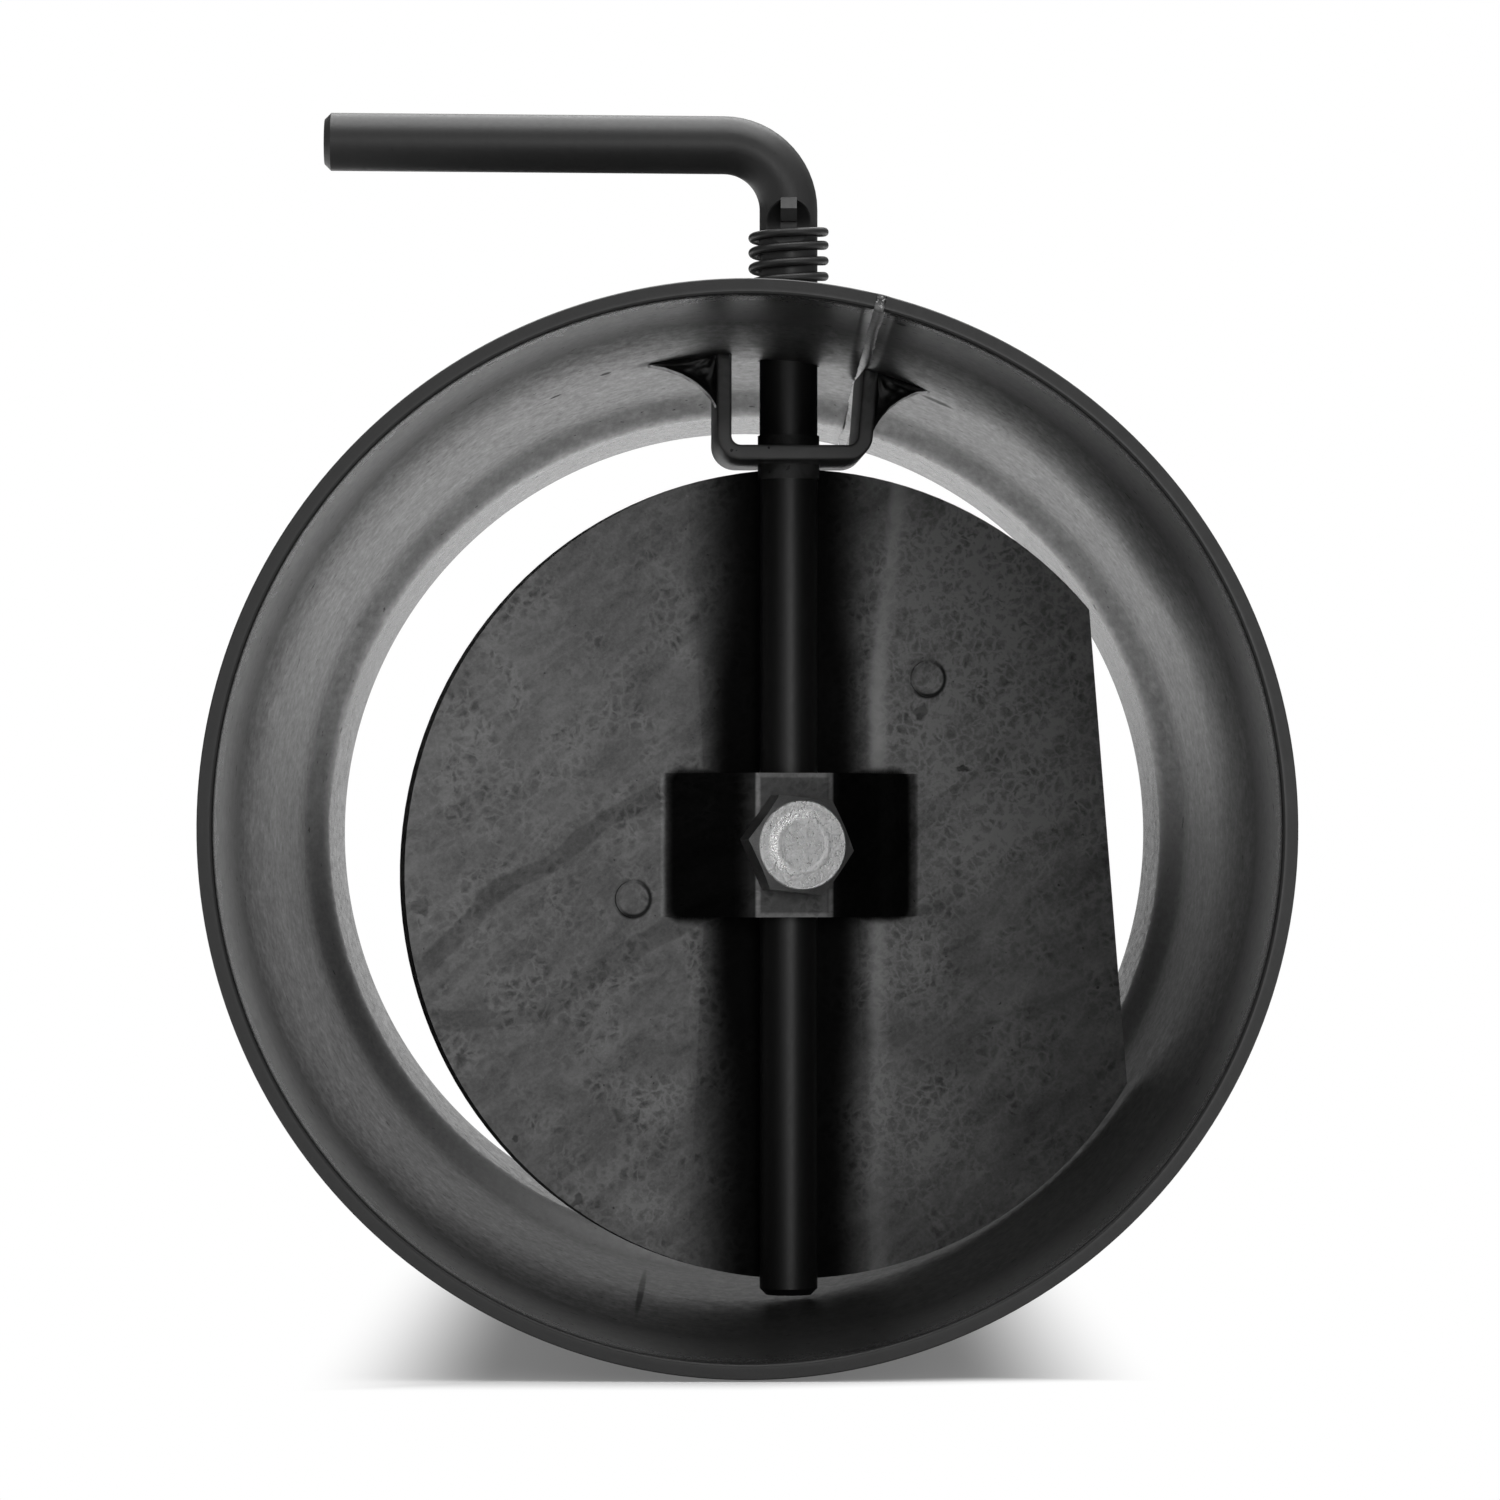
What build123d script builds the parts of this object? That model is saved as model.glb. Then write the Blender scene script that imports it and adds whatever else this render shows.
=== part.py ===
from build123d import *
from math import cos, pi, radians, sin, sqrt, tan
import os

# Stovepipe section with a damper, millimetres.
# The pipe's axis is Y. The origin is the centre of the socket's mouth, the socket opens to -Y,
# and the handle stands above the pipe, on +Z.

# Pipe
pipe_length = 250.0
wall = 2.0
socket_bore = 130.2
socket_depth = 46.0
socket_cone = 4.0
body_step = 0.15
spigot_play = 1.9
spigot_length = 47.0
taper_length = 8.0
taper_bend = 0.5
mouth_chamfer = 0.35

# Lengthwise seam, at the upper right
seam_angle = 14.2
seam_gap = 1.2
seam_cap_width = 4.6
seam_cap_height = 0.25
seam_cap_inset = 1.0

# Spindle and handle
rod_d = 8.0
rod_x = 5.93
rod_y = 120.0
rod_floor_gap = 0.75
rod_hole_gap = 0.25
rod_end_chamfer = 0.9
bend_radius = 9.0
handle_over_nib = 10.75
handle_rise = 0.55
handle_reach = 64.0

# Nibs pressed out of the spindle above the spring, with a dent each side of them
nib_width = 2.2
nib_stand = 1.2
nib_height = 3.3
nib_flat = 1.7
nib_tuck = 0.5
nib_gap = 0.1
dent_d = 6.3
dent_depth = 1.4

# Spring
wire_d = 1.25
wire_sides = 8
rod_to_coil = 0.3
end_turns = 1.0
open_turns = 5.5
open_pitch = 2.15
turn_gap = 0.47
spring_seat = 0.3
gap_samples = 240

# Bearing strap
strap_width = 30.0
strap_thickness = 2.0
strap_side_room = 4.55
strap_across = 0.25
strap_bend = 1.2
strap_lean = 4.5
strap_yaw = 1.7
web_gap = 0.35
weld_line = 0.05

# Fillet welds of the strap, at its front end: reach along the pipe's wall, fall down the leg
weld_reach_left = 9.3
weld_reach_right = 6.4
weld_fall = 6.9
weld_inset = 2.0
weld_length = 5.5
weld_hollow = 1.3

# Damper disc, in its own plane: across and up from the spindle's axis
disc_yaw = 15.2
disc_play = 8.85
disc_thickness = 3.0
disc_across = 2.75
disc_up = -5.9
rod_seat = 0.05
flat_cut_off = 11.0
flat_tilt = 4.8

# Bridge over the spindle
bridge_left_run = 8.7
bridge_right_run = 14.6
bridge_top_width = 11.6
bridge_across = -1.4
bridge_up = -1.9
bridge_width = 19.8
bridge_cut = 0.03
bridge_bend = 1.2
bridge_root = 2.0

# Shallow press mark from the bridge to the rim, above and below
trough_width = 22.0
trough_flare = 5.0
trough_depth = 0.6
trough_fade = 0.12

# Pips: across and up from the spindle's axis
pip_right = (21.2, 21.3)
pip_left = (-21.2, -9.3)
pip_d = 5.0
pip_stand = 0.6

# Clamp bolt, size 8 with a 13 mm hexagon and a dog point
bolt_d = 8.0
bolt_flats = 13.0
bolt_head = 5.3
bolt_turn = -6.0
bolt_face_d = 12.0
bolt_slope = 30.0
bolt_dog_d = 4.0
bolt_bite = 2.0
bolt_gap = 0.1

# Sizes worked out from the ones above
socket_r = socket_bore / 2
body_r = socket_r - body_step
spigot_r = (socket_bore - spigot_play) / 2 - wall
spigot_start = pipe_length - spigot_length
taper_start = spigot_start - taper_length
rod_r = rod_d / 2
rod_bottom = rod_floor_gap - sqrt(body_r**2 - rod_x**2)
disc_r = body_r - disc_play
disc_top = disc_up + disc_r

os.makedirs("parts", exist_ok=True)


def save(piece, name):
    piece.label = name
    export_step(piece, f"parts/{name}.step")


# Pipe shell: the rolled sheet's section, turned about the pipe's axis
with BuildSketch() as shell_section:
    with BuildLine():
        Polyline(
            (socket_r + mouth_chamfer, 0),
            (socket_r, mouth_chamfer),
            (socket_r, socket_depth),
            (body_r, socket_depth + socket_cone),
            (body_r, taper_start),
            (spigot_r, spigot_start),
            (spigot_r, pipe_length),
            (spigot_r + wall, pipe_length),
            (spigot_r + wall, spigot_start),
            (body_r + wall, taper_start),
            (body_r + wall, socket_depth + socket_cone),
            (socket_r + wall, socket_depth),
            (socket_r + wall, 0),
            close=True,
        )
    make_face()
    taper_corners = shell_section.vertices().filter_by_position(Axis.Y, taper_start, spigot_start)
    chamfer(taper_corners, length=taper_bend)

with BuildPart() as tube:
    add(shell_section.sketch)
    revolve(axis=Axis.Y)

# The seam's direction: out of the pipe, and across the bead
seam_out = (sin(radians(seam_angle)), 0, cos(radians(seam_angle)))
seam_across = (cos(radians(seam_angle)), 0, -sin(radians(seam_angle)))

with BuildPart() as seam_slab:
    with BuildSketch(Plane(origin=(0, 0, 0), x_dir=seam_across, z_dir=seam_out)):
        with Locations((0, pipe_length / 2)):
            Rectangle(seam_gap, pipe_length)
    extrude(amount=socket_r + 2 * wall)

with BuildPart() as pipe_shell:
    add(tube.part)
    add(seam_slab.part, mode=Mode.SUBTRACT)
    with BuildSketch(Plane.XY):
        with Locations((rod_x, rod_y)):
            Circle(rod_r + rod_hole_gap)
    extrude(amount=body_r + 2 * wall, mode=Mode.SUBTRACT)
save(pipe_shell.part, "pipe_shell")

# Seam weld: fills the joint, and its cap stands a little proud outside, up to the taper
cap_half = seam_cap_width / 2
cap_root = sqrt((body_r + wall) ** 2 - cap_half**2) - wall / 2
cap_plane = Plane(origin=(0, seam_cap_inset, 0), x_dir=seam_out, z_dir=(0, 1, 0))
with BuildPart() as seam_cap:
    with BuildSketch(cap_plane):
        with BuildLine():
            Polyline(
                (cap_root + wall / 2, -cap_half),
                (cap_root, -cap_half),
                (cap_root, cap_half),
                (cap_root + wall / 2, cap_half),
            )
            ThreePointArc(
                (cap_root + wall / 2, cap_half),
                (socket_r + wall + seam_cap_height, 0),
                (cap_root + wall / 2, -cap_half),
            )
        make_face()
    extrude(amount=taper_start - seam_cap_inset)

with BuildPart() as seam_weld:
    add(tube.part)
    add(seam_slab.part, mode=Mode.INTERSECT)
    add(seam_cap.part)
    add(pipe_shell.part, mode=Mode.SUBTRACT)
save(seam_weld.part, "seam_weld")

# Bearing strap: flat bar bent to a U, turned a little about the spindle, its legs cut to the pipe
strap_turn = radians(strap_yaw)
strap_plane = Plane(
    origin=(rod_x, rod_y, 0),
    x_dir=(cos(strap_turn), sin(strap_turn), 0),
    z_dir=(sin(strap_turn), -cos(strap_turn), 0),
)
leg_from_rod = rod_r + strap_side_room + strap_thickness / 2
strap_left = strap_across - leg_from_rod
strap_right = strap_across + leg_from_rod
web_under = disc_top + web_gap
web_middle = web_under + strap_thickness / 2
leg_top = body_r + wall
lean = tan(radians(strap_lean))

with BuildPart() as strap_room:
    with BuildSketch(Plane.XZ):
        Circle(body_r - weld_line)
    extrude(amount=-pipe_length)

with BuildPart() as bearing_strap:
    with BuildSketch(strap_plane.offset(strap_width / 2)):
        with BuildLine():
            FilletPolyline(
                (strap_left, leg_top),
                (strap_left, web_middle),
                (strap_right, web_middle),
                (strap_right + lean * (leg_top - web_middle), leg_top),
                radius=strap_bend + strap_thickness / 2,
            )
        trace(line_width=strap_thickness)
    extrude(amount=-strap_width)
    add(strap_room.part, mode=Mode.INTERSECT)
    with BuildSketch(Plane.XY.offset(web_under - strap_thickness)):
        with Locations((rod_x, rod_y)):
            Circle(rod_r + rod_hole_gap)
    extrude(amount=3 * strap_thickness, mode=Mode.SUBTRACT)
save(bearing_strap.part, "bearing_strap")

# Strap welds: short hollow fillets between the legs and the pipe, where a torch reaches from the mouth
with BuildPart() as pipe_inside:
    with BuildSketch(Plane.XZ):
        Circle(body_r)
    extrude(amount=-pipe_length)


# Height of the pipe's inner wall at a distance across from the spindle's axis
def wall_height(across):
    return sqrt(body_r**2 - (rod_x + across) ** 2)


# One fillet; side is -1 for the left leg and 1 for the right one
def strap_weld(side, leg_low, leg_slope, reach):
    outer_low = leg_low + side * strap_thickness / 2
    foot_z = wall_height(outer_low) - weld_fall
    foot = (outer_low + leg_slope * (foot_z - web_middle), foot_z)
    top = outer_low + leg_slope * (wall_height(outer_low) - web_middle)
    toe = (top + side * reach, wall_height(top + side * reach))
    chord = Vector(foot[0] - toe[0], foot[1] - toe[1]).normalized()
    corner_way = Vector(chord.Y * side, -chord.X * side)
    hollow = (
        (toe[0] + foot[0]) / 2 + corner_way.X * weld_hollow,
        (toe[1] + foot[1]) / 2 + corner_way.Y * weld_hollow,
    )
    back = foot[0] - side * strap_thickness / 2
    with BuildPart() as weld:
        with BuildSketch(strap_plane.offset(strap_width / 2 - weld_inset)):
            with BuildLine():
                Polyline(foot, (back, foot_z), (back, leg_top), (toe[0], leg_top), toe)
                ThreePointArc(toe, hollow, foot)
            make_face()
        extrude(amount=-weld_length)
        add(pipe_inside.part, mode=Mode.INTERSECT)
        add(bearing_strap.part, mode=Mode.SUBTRACT)
    return weld.part


save(strap_weld(-1, strap_left, 0, weld_reach_left), "strap_weld_left")
save(strap_weld(1, strap_right, lean, weld_reach_right), "strap_weld_right")

# Spring heights, from the pipe's outside up
coil_r = rod_r + rod_to_coil + wire_d / 2
coil_reach = coil_r + wire_d / 2
end_pitch = wire_d + turn_gap
turns = 2 * end_turns + open_turns
coil_low = sqrt((body_r + wall) ** 2 - max(rod_x - coil_reach, 0) ** 2) + spring_seat + wire_d / 2


# Height of the wire above its lower end after so many turns
def climb(turn):
    closed = min(turn, end_turns) + max(turn - end_turns - open_turns, 0)
    return closed * end_pitch + (turn - closed) * open_pitch


# Spindle: round bar bent over into the handle, with nibs raised between two dents front and back
nib_low = coil_low + climb(turns) + wire_d / 2 + nib_gap
handle_height = nib_low + handle_over_nib
nib_reach = rod_r + nib_stand
bolt_point = rod_r - bolt_bite
leaf_turn = radians(disc_yaw)
leaf_across = (cos(leaf_turn), sin(leaf_turn), 0)
leaf_front = (sin(leaf_turn), -cos(leaf_turn), 0)
leaf_plane = Plane(origin=(rod_x, rod_y, 0), x_dir=leaf_across, z_dir=leaf_front)

with BuildPart() as spindle:
    with BuildLine() as rod_line:
        FilletPolyline(
            (rod_x, rod_y, rod_bottom),
            (rod_x, rod_y, handle_height),
            (rod_x - handle_reach, rod_y, handle_height + handle_rise),
            radius=bend_radius,
        )
    with BuildSketch(Plane.XY.offset(rod_bottom)):
        with Locations((rod_x, rod_y)):
            Circle(rod_r)
    sweep(path=rod_line.line)
    foot_edges = spindle.faces().sort_by(Axis.Z)[0].edges()
    tip_edges = spindle.faces().sort_by(Axis.X)[0].edges()
    chamfer(foot_edges + tip_edges, length=rod_end_chamfer)
    for side in (-1, 1):
        with BuildSketch(Plane.XZ.offset(-rod_y - side * (rod_r - dent_depth))):
            with Locations((rod_x, nib_low)):
                Circle(dent_d / 2)
        extrude(amount=-side * rod_r, mode=Mode.SUBTRACT)
    with BuildSketch(Plane.YZ.offset(rod_x - nib_width / 2)):
        with Locations((rod_y, nib_low)):
            Polygon(
                (nib_tuck - nib_reach, 0),
                (nib_reach - nib_tuck, 0),
                (nib_reach, nib_flat),
                (rod_r, nib_height),
                (-rod_r, nib_height),
                (-nib_reach, nib_flat),
                align=None,
            )
    extrude(amount=nib_width)
    with BuildSketch(leaf_plane.offset(bolt_point - bolt_gap)):
        with Locations((bridge_across, bridge_up)):
            Circle(bolt_dog_d / 2 + bolt_gap)
    extrude(amount=rod_d, mode=Mode.SUBTRACT)
save(spindle.part, "spindle")


# Spring: a tube along tangent arcs, two for each half turn, with closer turns at its ends
def coil_point(turn):
    angle = 2 * pi * (turn - turns) + pi / 2
    return Vector(rod_x + coil_r * cos(angle), rod_y + coil_r * sin(angle), coil_low + climb(turn))


# Direction of the wire, its rise averaged over a quarter turn each way
def coil_way(turn):
    angle = 2 * pi * (turn - turns) + pi / 2
    low = max(turn - 0.25, 0)
    high = min(turn + 0.25, turns)
    rise = (climb(high) - climb(low)) / (high - low)
    run = 2 * pi * coil_r
    return Vector(-run * sin(angle), run * cos(angle), rise).normalized()


# Meeting point of two equal tangent lengths, where one arc passes into the next
def arc_joint(start, start_way, end, end_way):
    span = end - start
    square = 2 * (start_way.dot(end_way) - 1)
    linear = -2 * span.dot(start_way + end_way)
    reach = (-linear - sqrt(linear**2 - 4 * square * span.dot(span))) / (2 * square)
    return (start + start_way * reach + end - end_way * reach) / 2


with BuildPart() as spring:
    with BuildLine() as coil_line:
        for half in range(round(2 * turns)):
            start = coil_point(half / 2)
            end = coil_point((half + 1) / 2)
            middle = arc_joint(start, coil_way(half / 2), end, coil_way((half + 1) / 2))
            first = TangentArc(start, middle, tangent=coil_way(half / 2))
            TangentArc(middle, end, tangent=first % 1)
    with BuildSketch(Plane(origin=coil_line.line @ 0, z_dir=coil_line.line % 0)):
        RegularPolygon(wire_d / 2, wire_sides)
    sweep(path=coil_line.line)
save(spring.part, "spring")

coil_dots = [coil_line.line @ (dot / gap_samples) for dot in range(gap_samples + 1)]
half_turn = round(gap_samples / turns / 2)
least = min(
    (coil_dots[first] - coil_dots[second]).length
    for first in range(gap_samples + 1)
    for second in range(first + half_turn, gap_samples + 1)
)
print(f"spring: least gap to itself {least - wire_d:.2f} mm")

# Damper disc: round sheet behind the spindle, one side straight, with press marks and a bridge
disc_front = rod_r + rod_seat
bridge_face = disc_front + disc_thickness
bridge_left = bridge_across - bridge_top_width / 2
bridge_right = bridge_across + bridge_top_width / 2
foot_left = bridge_left - bridge_left_run
foot_right = bridge_right + bridge_right_run
window_low = bridge_up - bridge_width / 2 - bridge_cut
window_high = bridge_up + bridge_width / 2 + bridge_cut

with BuildSketch(leaf_plane.offset(-disc_front)) as disc_outline:
    with Locations((disc_across, disc_up)):
        Circle(disc_r)
        with PolarLocations(disc_r, 1, start_angle=flat_tilt):
            Rectangle(2 * flat_cut_off, 2 * disc_r, mode=Mode.SUBTRACT)

with BuildPart() as disc_column:
    extrude(disc_outline.sketch, amount=2 * disc_thickness, dir=leaf_front, both=True)


# Shallow press mark on one face of the disc, from the bridge to the rim
def trough(face, near, far):
    wide = trough_width + trough_flare
    with BuildPart() as mark:
        for up, width, depth in ((near, trough_width, trough_depth), (far, wide, trough_fade)):
            with BuildSketch(Plane(origin=(rod_x, rod_y, up), x_dir=leaf_across, z_dir=(0, 0, 1))):
                with BuildLine():
                    Line((-width / 2, face), (width / 2, face))
                    ThreePointArc((width / 2, face), (0, face + depth), (-width / 2, face))
                make_face()
        loft(ruled=True)
    return mark.part


with BuildPart() as damper_disc:
    add(trough(bridge_face, window_low, disc_up - disc_r))
    add(trough(bridge_face, window_high, disc_up + disc_r))
    add(disc_column.part, mode=Mode.INTERSECT)
    extrude(disc_outline.sketch, amount=-disc_thickness, dir=leaf_front)
    add(trough(disc_front, window_low, disc_up - disc_r), mode=Mode.SUBTRACT)
    add(trough(disc_front, window_high, disc_up + disc_r), mode=Mode.SUBTRACT)
    # Window that the bridge is pressed out of
    with BuildSketch(leaf_plane.offset(-disc_front)):
        with Locations(((foot_left + foot_right) / 2, (window_low + window_high) / 2)):
            Rectangle(foot_right - foot_left, window_high - window_low)
    extrude(amount=3 * disc_thickness, both=True, mode=Mode.SUBTRACT)
    # Bridge over the spindle
    with BuildSketch(
        Plane(
            origin=(rod_x, rod_y, bridge_up - bridge_width / 2), x_dir=leaf_across, z_dir=(0, 0, 1)
        )
    ):
        with BuildLine():
            FilletPolyline(
                (foot_left - bridge_root, disc_front + disc_thickness / 2),
                (foot_left, disc_front + disc_thickness / 2),
                (bridge_left, -disc_front - disc_thickness / 2),
                (bridge_right, -disc_front - disc_thickness / 2),
                (foot_right, disc_front + disc_thickness / 2),
                (foot_right + bridge_root, disc_front + disc_thickness / 2),
                radius=bridge_bend + disc_thickness / 2,
            )
        trace(line_width=disc_thickness)
    extrude(amount=bridge_width)
    # Bolt hole through the bridge
    with BuildSketch(leaf_plane.offset(rod_r)):
        with Locations((bridge_across, bridge_up)):
            Circle(bolt_d / 2 + bolt_gap)
    extrude(amount=2 * disc_thickness, mode=Mode.SUBTRACT)
    # Pips, raised in front with a pocket behind
    with BuildSketch(leaf_plane.offset(-disc_front)):
        with Locations(pip_right, pip_left):
            Circle(pip_d / 2)
    extrude(amount=pip_stand)
    with BuildSketch(leaf_plane.offset(-bridge_face)):
        with Locations(pip_right, pip_left):
            Circle(pip_d / 2 - bolt_gap)
    extrude(amount=pip_stand, mode=Mode.SUBTRACT)
save(damper_disc.part, "damper_disc")

# Clamp bolt: hexagon head on the bridge, its dog in a seat in the spindle
bolt_origin = leaf_plane.from_local_coords((bridge_across, bridge_up, bridge_face))
bolt_plane = Plane(origin=bolt_origin, x_dir=leaf_across, z_dir=leaf_front)
cone_r = bolt_face_d / 2 + bolt_head / tan(radians(bolt_slope))
shank_length = bridge_face - rod_r - bolt_gap
with BuildPart(bolt_plane) as clamp_bolt:
    with BuildSketch(bolt_plane):
        RegularPolygon(bolt_flats / 2, 6, major_radius=False, rotation=bolt_turn)
    extrude(amount=bolt_head)
    Cone(
        cone_r,
        bolt_face_d / 2,
        bolt_head,
        align=(Align.CENTER, Align.CENTER, Align.MIN),
        mode=Mode.INTERSECT,
    )
    with BuildSketch(bolt_plane):
        Circle(bolt_d / 2)
    extrude(amount=-shank_length)
    with BuildSketch(bolt_plane.offset(-shank_length)):
        Circle(bolt_dog_d / 2)
    extrude(amount=bolt_point - rod_r - bolt_gap)
save(clamp_bolt.part, "clamp_bolt")
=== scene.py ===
import math

import bmesh
import bpy
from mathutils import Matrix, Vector, noise


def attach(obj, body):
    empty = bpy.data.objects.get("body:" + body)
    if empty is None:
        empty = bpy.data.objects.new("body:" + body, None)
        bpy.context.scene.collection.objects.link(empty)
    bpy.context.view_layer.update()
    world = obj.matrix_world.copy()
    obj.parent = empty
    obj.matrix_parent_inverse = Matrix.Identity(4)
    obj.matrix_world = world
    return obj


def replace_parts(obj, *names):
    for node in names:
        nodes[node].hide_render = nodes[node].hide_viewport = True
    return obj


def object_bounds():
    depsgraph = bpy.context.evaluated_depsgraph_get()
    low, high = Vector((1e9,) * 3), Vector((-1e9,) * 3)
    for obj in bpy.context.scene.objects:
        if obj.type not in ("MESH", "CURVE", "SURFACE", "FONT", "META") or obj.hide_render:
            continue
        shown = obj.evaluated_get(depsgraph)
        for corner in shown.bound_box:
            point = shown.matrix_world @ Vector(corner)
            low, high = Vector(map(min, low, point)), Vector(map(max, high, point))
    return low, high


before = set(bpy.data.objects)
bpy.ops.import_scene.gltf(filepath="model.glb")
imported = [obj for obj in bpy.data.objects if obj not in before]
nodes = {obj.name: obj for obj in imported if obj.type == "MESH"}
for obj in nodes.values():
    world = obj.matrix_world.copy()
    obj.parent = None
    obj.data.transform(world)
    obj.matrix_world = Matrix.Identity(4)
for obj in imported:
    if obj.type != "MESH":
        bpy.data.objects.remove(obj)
cadBox = [list(corner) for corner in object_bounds()]
print("frame loaded:", ", ".join(sorted(nodes)))

# The spindle's axis, x and y in mm: strap, disc, bolt and spring are placed from it
spindleAt = (5.93, 120.0)


class Value:  # a socket that can be used in sums
    def __init__(self, recipe, socket):
        self.recipe = recipe
        self.socket = socket

    def sum(self, operation, left, right):
        return self.recipe.node("ShaderNodeMath", {"operation": operation}, {0: left, 1: right})

    def __add__(self, other):
        return self.sum("ADD", self, other)

    def __radd__(self, other):
        return self.sum("ADD", other, self)

    def __sub__(self, other):
        return self.sum("SUBTRACT", self, other)

    def __rsub__(self, other):
        return self.sum("SUBTRACT", other, self)

    def __mul__(self, other):
        return self.sum("MULTIPLY", self, other)

    def __rmul__(self, other):
        return self.sum("MULTIPLY", other, self)

    def __truediv__(self, other):
        return self.sum("DIVIDE", self, other)

    def __rtruediv__(self, other):
        return self.sum("DIVIDE", other, self)

    def __pow__(self, other):
        return self.sum("POWER", self, other)

    def __rpow__(self, other):
        return self.sum("POWER", other, self)

    def larger(self, other):
        return self.sum("MAXIMUM", self, other)

    def size(self):
        return self.recipe.node("ShaderNodeMath", {"operation": "ABSOLUTE"}, {0: self})


class Recipe:  # builds one node tree
    def __init__(self, name, world=False):
        owner = (bpy.data.worlds if world else bpy.data.materials).new(name)
        owner.use_nodes = True
        owner.node_tree.nodes.clear()
        self.owner = owner
        self.tree = owner.node_tree

    def node(self, kind, settings=None, sockets=None, out=0):
        made = self.tree.nodes.new(kind)
        for key, value in (settings or {}).items():
            if key == "stops":
                self.setStops(made.color_ramp, value)
            else:
                setattr(made, key, value)
        for key, value in (sockets or {}).items():
            if isinstance(value, Value):
                self.tree.links.new(value.socket, made.inputs[key])
            else:
                made.inputs[key].default_value = value
        return Value(self, made.outputs[out]) if made.outputs else made

    def setStops(self, ramp, stops):
        while len(ramp.elements) < len(stops):
            ramp.elements.new(0.5)
        for element, (place, shade) in zip(ramp.elements, stops):
            element.position = place
            element.color = (shade, shade, shade, 1)

    def vectorMath(self, operation, sockets, out=0):
        return self.node("ShaderNodeVectorMath", {"operation": operation}, sockets, out)

    def pointInMm(self):
        point = self.node("ShaderNodeTexCoord", out="Object")
        return self.vectorMath("SCALE", {0: point, "Scale": 1000.0})

    def parts(self, vector):
        split = self.node("ShaderNodeSeparateXYZ", {}, {0: vector}).socket.node
        return [Value(self, socket) for socket in split.outputs]

    def join(self, x, y, z):
        return self.node("ShaderNodeCombineXYZ", {}, {0: x, 1: y, 2: z})

    def stretch(self, vector, scale):
        return self.node("ShaderNodeMapping", {"vector_type": "POINT"},
                         {"Vector": vector, "Scale": scale})

    def noise(self, vector, scale, detail=3.0, rough=0.5, warp=0.0):
        return self.node("ShaderNodeTexNoise", {}, {
            "Vector": vector, "Scale": scale, "Detail": detail,
            "Roughness": rough, "Distortion": warp,
        })

    def cells(self, vector, scale, feature="F1"):
        return self.node("ShaderNodeTexVoronoi", {"feature": feature},
                         {"Vector": vector, "Scale": scale})

    def warp(self, vector, scale, reach):  # pushes a texture about, by so many millimetres
        push = self.node("ShaderNodeTexNoise", {},
                         {"Vector": vector, "Scale": scale, "Detail": 3.0}, "Color")
        push = self.vectorMath("SUBTRACT", {0: push, 1: (0.5, 0.5, 0.5)})
        push = self.vectorMath("SCALE", {0: push, "Scale": 2.0 * reach})
        return self.vectorMath("ADD", {0: vector, 1: push})

    def mask(self, value, low, high):  # 0 below low, 1 above high
        return self.node("ShaderNodeMapRange", {"interpolation_type": "SMOOTHSTEP"},
                         {0: value, 1: low, 2: high, 3: 0.0, 4: 1.0})

    def within(self, value, rise, fall):  # 1 between the two slopes, 0 beside them
        return self.mask(value, *rise) * (1 - self.mask(value, *fall))

    def stain(self, point, place, reach, soft=0.5):  # 1 inside an egg round place, 0 outside
        away = self.vectorMath("SUBTRACT", {0: point, 1: place})
        away = self.vectorMath("DIVIDE", {0: away, 1: reach})
        far = self.vectorMath("LENGTH", {0: away}, "Value")
        return 1 - self.mask(far, 1 - soft, 1)

    def blend(self, share, first, second):  # shades are greys or other blends
        def shade(entry):
            return entry if isinstance(entry, Value) else (entry, entry, entry, 1)
        return self.node("ShaderNodeMix", {"data_type": "RGBA"},
                         {0: share, 6: shade(first), 7: shade(second)}, out=2)

    def bump(self, height, strength, reach):
        return self.node("ShaderNodeBump", {},
                         {"Strength": strength, "Distance": reach, "Height": height})

    def finishSurface(self, sockets):
        surface = self.node("ShaderNodeBsdfPrincipled", {}, sockets)
        self.node("ShaderNodeOutputMaterial", {}, {"Surface": surface})
        return self.owner


def distance(first, second):
    return (first * first + second * second) ** 0.5


def dress(nodeName, material):
    piece = nodes[nodeName]
    piece.data.materials.clear()
    piece.data.materials.append(material)


def addPiece(name, mesh, surface, body, smooth=True):
    bmesh.ops.recalc_face_normals(mesh, faces=mesh.faces)
    for face in mesh.faces:
        face.smooth = smooth
    data = bpy.data.meshes.new(name)
    mesh.to_mesh(data)
    mesh.free()
    piece = bpy.data.objects.new(name, data)
    bpy.context.scene.collection.objects.link(piece)
    data.materials.append(surface)
    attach(piece, body)
    return piece


def bridgeRings(mesh, rings):  # skins a row of rings
    for first, second in zip(rings, rings[1:]):
        for index in range(len(first)):
            after = (index + 1) % len(first)
            mesh.faces.new((first[index], first[after], second[after], second[index]))


def skinClosed(mesh, rings):  # skins the rings and closes both ends
    bridgeRings(mesh, rings)
    mesh.faces.new(rings[0])
    mesh.faces.new(list(reversed(rings[-1])))


def lump(x, y, z, scale, seed=0.0):  # smooth lumps, -1 to 1
    return noise.noise(Vector((x * scale + seed, y * scale - seed, z * scale + 3.7)))


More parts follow.
